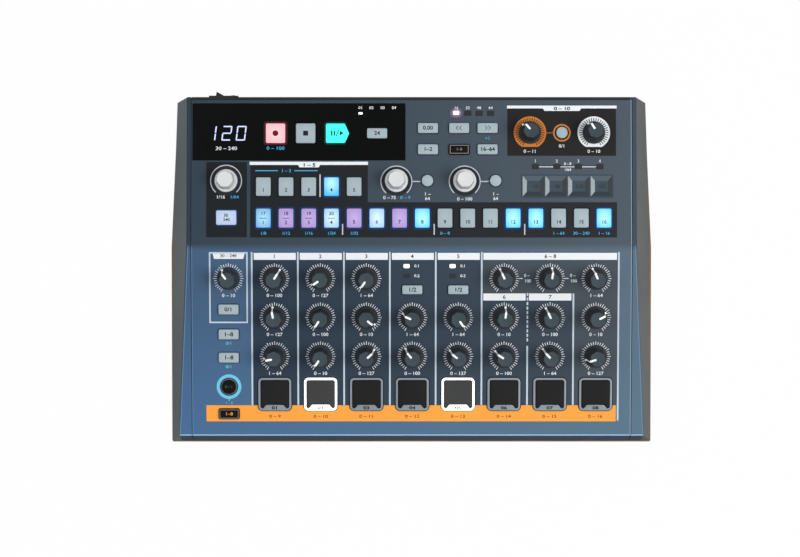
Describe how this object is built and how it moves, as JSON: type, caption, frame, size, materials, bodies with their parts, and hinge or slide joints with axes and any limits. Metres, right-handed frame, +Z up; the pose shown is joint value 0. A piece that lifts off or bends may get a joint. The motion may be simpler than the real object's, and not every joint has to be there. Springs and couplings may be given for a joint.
{
  "type": "drum machine",
  "caption": "Desktop drum machine: wedge-shaped metal case with moulded side cheeks, dial knobs, rubber pads, step keys, transport keys, touch strip and display window.",
  "frame": {"origin": "centre of the bounding box in plan, on the surface that the feet stand on", "axes": "+X to the player's right, +Y to the rear panel, +Z up"},
  "size_m": [0.322, 0.2322, 0.059],
  "materials": {
    "panel_paint": "fine-textured matt slate-blue powder paint",
    "pan_paint": "matt brown-grey powder paint",
    "rear_paint": "matt near-black powder paint",
    "cheek_plastic": "matt grey moulded plastic, fine grain",
    "window_plastic": "glossy black sheet",
    "display_plastic": "dark display block with white digits",
    "strip_plastic": "smoked slate, satin",
    "lens_plastic": "clear-white lamp lenses",
    "frame_plastic": "satin light grey",
    "board_resin": "green board lacquer",
    "dial_metal": "plain",
    "switch_plastic": "plain",
    "socket_plastic": "matt black",
    "foot_rubber": "matt black",
    "screw_steel": "black-coated",
    "rocker_plastic": "satin black",
    "record_plastic": "translucent pink, lit from below",
    "play_plastic": "translucent turquoise, lit from below",
    "key_plastic": "translucent light grey",
    "step_plastic": "translucent, lit in violet and blue",
    "pad_rubber": "matt black",
    "knob_plastic": "matt dark slate with a white pointer",
    "encoder_plastic": "satin white"
  },
  "bodies": {
    "case": {"top_panel": "panel_paint", "base_pan": "pan_paint", "rear_plate": "rear_paint", "left_cheek": "cheek_plastic", "right_cheek": "cheek_plastic", "side_strips": "panel_paint", "display_window": "window_plastic", "digit_display": "display_plastic", "touch_strip": "strip_plastic", "lamp_lenses": "lens_plastic", "pad_frames": "frame_plastic", "circuit_boards": "board_resin", "dial_bodies": "dial_metal", "key_switches": "switch_plastic", "rear_sockets": "socket_plastic", "rubber_feet": "foot_rubber", "case_screws": "screw_steel"},
    "power_rocker": {"power_rocker": "rocker_plastic"},
    "record_key": {"record_key": "record_plastic"},
    "stop_key": {"stop_key": "key_plastic"},
    "play_key": {"play_key": "play_plastic"},
    "upper_keys": {"upper_keys": "key_plastic"},
    "step_keys": {"step_keys": "step_plastic"},
    "lower_keys": {"lower_keys": "key_plastic"},
    "pad_1": {"pad_1": "pad_rubber"},
    "pad_2": {"pad_2": "pad_rubber"},
    "pad_3": {"pad_3": "pad_rubber"},
    "pad_4": {"pad_4": "pad_rubber"},
    "pad_5": {"pad_5": "pad_rubber"},
    "pad_6": {"pad_6": "pad_rubber"},
    "pad_7": {"pad_7": "pad_rubber"},
    "pad_8": {"pad_8": "pad_rubber"},
    "metronome_knob": {"metronome_knob": "knob_plastic"},
    "kick_decay_knob": {"kick_decay_knob": "knob_plastic"},
    "kick_pitch_knob": {"kick_pitch_knob": "knob_plastic"},
    "kick_level_knob": {"kick_level_knob": "knob_plastic"},
    "snare1_decay_knob": {"snare1_decay_knob": "knob_plastic"},
    "snare1_tone_knob": {"snare1_tone_knob": "knob_plastic"},
    "snare1_level_knob": {"snare1_level_knob": "knob_plastic"},
    "snare2_decay_knob": {"snare2_decay_knob": "knob_plastic"},
    "snare2_tone_knob": {"snare2_tone_knob": "knob_plastic"},
    "snare2_level_knob": {"snare2_level_knob": "knob_plastic"},
    "tom_pitch_knob": {"tom_pitch_knob": "knob_plastic"},
    "tom_level_knob": {"tom_level_knob": "knob_plastic"},
    "cymbal_decay_knob": {"cymbal_decay_knob": "knob_plastic"},
    "cymbal_level_knob": {"cymbal_level_knob": "knob_plastic"},
    "mod_pitch_knob": {"mod_pitch_knob": "knob_plastic"},
    "hat_tone_knob": {"hat_tone_knob": "knob_plastic"},
    "closed_hat_level_knob": {"closed_hat_level_knob": "knob_plastic"},
    "mod_amount_knob": {"mod_amount_knob": "knob_plastic"},
    "open_hat_decay_knob": {"open_hat_decay_knob": "knob_plastic"},
    "open_hat_level_knob": {"open_hat_level_knob": "knob_plastic"},
    "mod_decay_knob": {"mod_decay_knob": "knob_plastic"},
    "carrier_pitch_knob": {"carrier_pitch_knob": "knob_plastic"},
    "mod_level_knob": {"mod_level_knob": "knob_plastic"},
    "drive_knob": {"drive_knob": "knob_plastic"},
    "master_knob": {"master_knob": "knob_plastic"},
    "rate_encoder_knob": {"rate_encoder_knob": "encoder_plastic"},
    "swing_encoder_knob": {"swing_encoder_knob": "encoder_plastic"},
    "random_encoder_knob": {"random_encoder_knob": "encoder_plastic"}
  },
  "joints": [
    {"name": "power_rocker_tip", "type": "hinge", "parent": "case", "child": "power_rocker", "pos_m": [-0.1245, 0.10884, 0.0275], "axis": [0, 0, 1], "range_deg": [0, 22]},
    {"name": "record_key_press", "type": "slide", "parent": "case", "child": "record_key", "axis": [0, 0, -1], "range_m": [0, 0.0008], "stiffness_N_per_m": 500, "springref_m": -0.0005},
    {"name": "stop_key_press", "type": "slide", "parent": "case", "child": "stop_key", "axis": [0, 0, -1], "range_m": [0, 0.0008], "stiffness_N_per_m": 500, "springref_m": -0.0005},
    {"name": "play_key_press", "type": "slide", "parent": "case", "child": "play_key", "axis": [0, 0, -1], "range_m": [0, 0.0008], "stiffness_N_per_m": 500, "springref_m": -0.0005},
    {"name": "upper_keys_press", "type": "slide", "parent": "case", "child": "upper_keys", "axis": [0, 0, -1], "range_m": [0, 0.0008], "stiffness_N_per_m": 2400, "springref_m": -0.0005},
    {"name": "step_keys_press", "type": "slide", "parent": "case", "child": "step_keys", "axis": [0, 0, -1], "range_m": [0, 0.0008], "stiffness_N_per_m": 2400, "springref_m": -0.0005},
    {"name": "lower_keys_press", "type": "slide", "parent": "case", "child": "lower_keys", "axis": [0, 0.1219, -0.9925], "range_m": [0, 0.0008], "stiffness_N_per_m": 1200, "springref_m": -0.0005},
    {"name": "pad_1_press", "type": "slide", "parent": "case", "child": "pad_1", "axis": [0, 0.1219, -0.9925], "range_m": [0, 0.001], "stiffness_N_per_m": 1500, "springref_m": -0.0005},
    {"name": "pad_2_press", "type": "slide", "parent": "case", "child": "pad_2", "axis": [0, 0.1219, -0.9925], "range_m": [0, 0.001], "stiffness_N_per_m": 1500, "springref_m": -0.0005},
    {"name": "pad_3_press", "type": "slide", "parent": "case", "child": "pad_3", "axis": [0, 0.1219, -0.9925], "range_m": [0, 0.001], "stiffness_N_per_m": 1500, "springref_m": -0.0005},
    {"name": "pad_4_press", "type": "slide", "parent": "case", "child": "pad_4", "axis": [0, 0.1219, -0.9925], "range_m": [0, 0.001], "stiffness_N_per_m": 1500, "springref_m": -0.0005},
    {"name": "pad_5_press", "type": "slide", "parent": "case", "child": "pad_5", "axis": [0, 0.1219, -0.9925], "range_m": [0, 0.001], "stiffness_N_per_m": 1500, "springref_m": -0.0005},
    {"name": "pad_6_press", "type": "slide", "parent": "case", "child": "pad_6", "axis": [0, 0.1219, -0.9925], "range_m": [0, 0.001], "stiffness_N_per_m": 1500, "springref_m": -0.0005},
    {"name": "pad_7_press", "type": "slide", "parent": "case", "child": "pad_7", "axis": [0, 0.1219, -0.9925], "range_m": [0, 0.001], "stiffness_N_per_m": 1500, "springref_m": -0.0005},
    {"name": "pad_8_press", "type": "slide", "parent": "case", "child": "pad_8", "axis": [0, 0.1219, -0.9925], "range_m": [0, 0.001], "stiffness_N_per_m": 1500, "springref_m": -0.0005},
    {"name": "metronome_knob_turn", "type": "hinge", "parent": "case", "child": "metronome_knob", "pos_m": [-0.1205, -0.0081, 0.03989], "axis": [0, 0.1219, -0.9925], "range_deg": [-114, 186]},
    {"name": "kick_decay_knob_turn", "type": "hinge", "parent": "case", "child": "kick_decay_knob", "pos_m": [-0.09026, -0.0081, 0.03989], "axis": [0, 0.1219, -0.9925], "range_deg": [-183, 117]},
    {"name": "kick_pitch_knob_turn", "type": "hinge", "parent": "case", "child": "kick_pitch_knob", "pos_m": [-0.09026, -0.03371, 0.03675], "axis": [0, 0.1219, -0.9925], "range_deg": [-140, 160]},
    {"name": "kick_level_knob_turn", "type": "hinge", "parent": "case", "child": "kick_level_knob", "pos_m": [-0.09026, -0.05932, 0.0336], "axis": [0, 0.1219, -0.9925], "range_deg": [-50, 250]},
    {"name": "snare1_decay_knob_turn", "type": "hinge", "parent": "case", "child": "snare1_decay_knob", "pos_m": [-0.06002, -0.0081, 0.03989], "axis": [0, 0.1219, -0.9925], "range_deg": [-26, 274]},
    {"name": "snare1_tone_knob_turn", "type": "hinge", "parent": "case", "child": "snare1_tone_knob", "pos_m": [-0.06002, -0.03371, 0.03675], "axis": [0, 0.1219, -0.9925], "range_deg": [-3, 297]},
    {"name": "snare1_level_knob_turn", "type": "hinge", "parent": "case", "child": "snare1_level_knob", "pos_m": [-0.06002, -0.05932, 0.0336], "axis": [0, 0.1219, -0.9925], "range_deg": [-4, 296]},
    {"name": "snare2_decay_knob_turn", "type": "hinge", "parent": "case", "child": "snare2_decay_knob", "pos_m": [-0.02978, -0.0081, 0.03989], "axis": [0, 0.1219, -0.9925], "range_deg": [-4, 296]},
    {"name": "snare2_tone_knob_turn", "type": "hinge", "parent": "case", "child": "snare2_tone_knob", "pos_m": [-0.02978, -0.03371, 0.03675], "axis": [0, 0.1219, -0.9925], "range_deg": [-279, 21]},
    {"name": "snare2_level_knob_turn", "type": "hinge", "parent": "case", "child": "snare2_level_knob", "pos_m": [-0.02978, -0.05932, 0.0336], "axis": [0, 0.1219, -0.9925], "range_deg": [-198, 102]},
    {"name": "tom_pitch_knob_turn", "type": "hinge", "parent": "case", "child": "tom_pitch_knob", "pos_m": [0.00046, -0.03371, 0.03675], "axis": [0, 0.1219, -0.9925], "range_deg": [-84, 216]},
    {"name": "tom_level_knob_turn", "type": "hinge", "parent": "case", "child": "tom_level_knob", "pos_m": [0.00046, -0.05932, 0.0336], "axis": [0, 0.1219, -0.9925], "range_deg": [-110, 190]},
    {"name": "cymbal_decay_knob_turn", "type": "hinge", "parent": "case", "child": "cymbal_decay_knob", "pos_m": [0.0307, -0.03371, 0.03675], "axis": [0, 0.1219, -0.9925], "range_deg": [-295, 5]},
    {"name": "cymbal_level_knob_turn", "type": "hinge", "parent": "case", "child": "cymbal_level_knob", "pos_m": [0.0307, -0.05932, 0.0336], "axis": [0, 0.1219, -0.9925], "range_deg": [-97, 203]},
    {"name": "mod_pitch_knob_turn", "type": "hinge", "parent": "case", "child": "mod_pitch_knob", "pos_m": [0.06094, -0.0081, 0.03989], "axis": [0, 0.1219, -0.9925], "range_deg": [-125, 175]},
    {"name": "hat_tone_knob_turn", "type": "hinge", "parent": "case", "child": "hat_tone_knob", "pos_m": [0.06094, -0.03371, 0.03675], "axis": [0, 0.1219, -0.9925], "range_deg": [-157, 143]},
    {"name": "closed_hat_level_knob_turn", "type": "hinge", "parent": "case", "child": "closed_hat_level_knob", "pos_m": [0.06094, -0.05932, 0.0336], "axis": [0, 0.1219, -0.9925], "range_deg": [-92, 208]},
    {"name": "mod_amount_knob_turn", "type": "hinge", "parent": "case", "child": "mod_amount_knob", "pos_m": [0.09118, -0.0081, 0.03989], "axis": [0, 0.1219, -0.9925], "range_deg": [-159, 141]},
    {"name": "open_hat_decay_knob_turn", "type": "hinge", "parent": "case", "child": "open_hat_decay_knob", "pos_m": [0.09118, -0.03371, 0.03675], "axis": [0, 0.1219, -0.9925], "range_deg": [-125, 175]},
    {"name": "open_hat_level_knob_turn", "type": "hinge", "parent": "case", "child": "open_hat_level_knob", "pos_m": [0.09118, -0.05932, 0.0336], "axis": [0, 0.1219, -0.9925], "range_deg": [-107, 193]},
    {"name": "mod_decay_knob_turn", "type": "hinge", "parent": "case", "child": "mod_decay_knob", "pos_m": [0.12142, -0.0081, 0.03989], "axis": [0, 0.1219, -0.9925], "range_deg": [-128, 172]},
    {"name": "carrier_pitch_knob_turn", "type": "hinge", "parent": "case", "child": "carrier_pitch_knob", "pos_m": [0.12142, -0.03371, 0.03675], "axis": [0, 0.1219, -0.9925], "range_deg": [-213, 87]},
    {"name": "mod_level_knob_turn", "type": "hinge", "parent": "case", "child": "mod_level_knob", "pos_m": [0.12142, -0.05932, 0.0336], "axis": [0, 0.1219, -0.9925], "range_deg": [-42, 258]},
    {"name": "drive_knob_turn", "type": "hinge", "parent": "case", "child": "drive_knob", "pos_m": [0.0779, 0.08784, 0.0425], "axis": [0, 0, -1], "range_deg": [-107, 193]},
    {"name": "master_knob_turn", "type": "hinge", "parent": "case", "child": "master_knob", "pos_m": [0.1199, 0.08784, 0.0425], "axis": [0, 0, -1], "range_deg": [-117, 183]},
    {"name": "rate_encoder_knob_turn", "type": "hinge", "parent": "case", "child": "rate_encoder_knob", "pos_m": [-0.12201, 0.05614, 0.0425], "axis": [0, 0, -1], "continuous": true},
    {"name": "swing_encoder_knob_turn", "type": "hinge", "parent": "case", "child": "swing_encoder_knob", "pos_m": [-0.01, 0.05614, 0.0425], "axis": [0, 0, -1], "continuous": true},
    {"name": "random_encoder_knob_turn", "type": "hinge", "parent": "case", "child": "random_encoder_knob", "pos_m": [0.03491, 0.05614, 0.0425], "axis": [0, 0, -1], "continuous": true}
  ]
}
